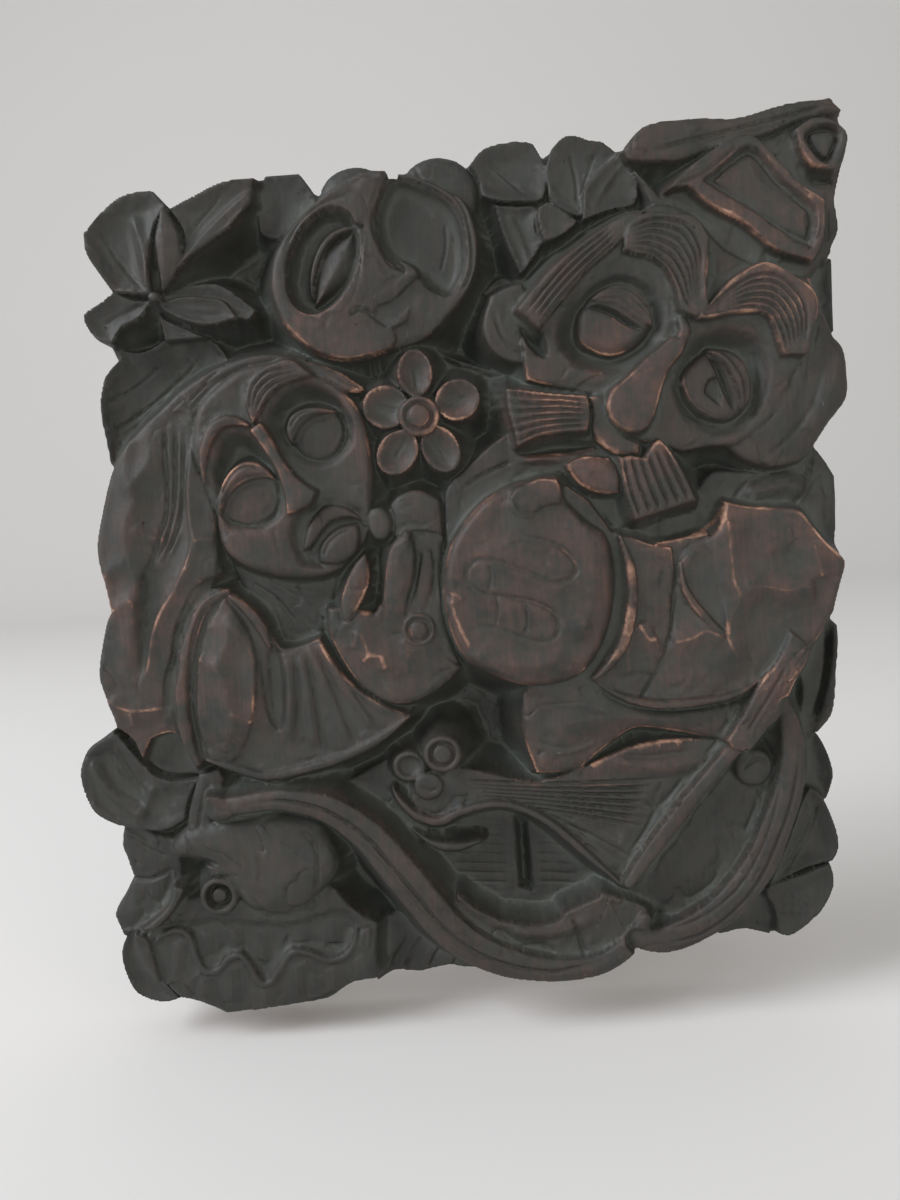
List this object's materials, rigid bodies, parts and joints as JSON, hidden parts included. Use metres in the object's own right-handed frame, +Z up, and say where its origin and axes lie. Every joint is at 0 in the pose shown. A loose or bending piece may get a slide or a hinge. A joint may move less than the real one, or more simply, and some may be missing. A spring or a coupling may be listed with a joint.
{
  "type": "carved wood relief panel",
  "caption": "Wall relief carved from one dark-stained board: a fiddler and a long-haired figure under a moon with a face, among leaves and flowers, with an irregular cut-out edge.",
  "frame": {"origin": "centre of the flat back, on the plane that rests against the wall", "axes": "+X to the right and +Z up as seen from the front, +Y into the wall, the carved front faces -Y"},
  "size_m": [0.324, 0.048, 0.355],
  "materials": {
    "stained_wood": "dark brown stain, waxed, rubbed reddish on the high edges"
  },
  "bodies": {
    "root": {"carved_panel": "stained_wood"}
  },
  "joints": []
}
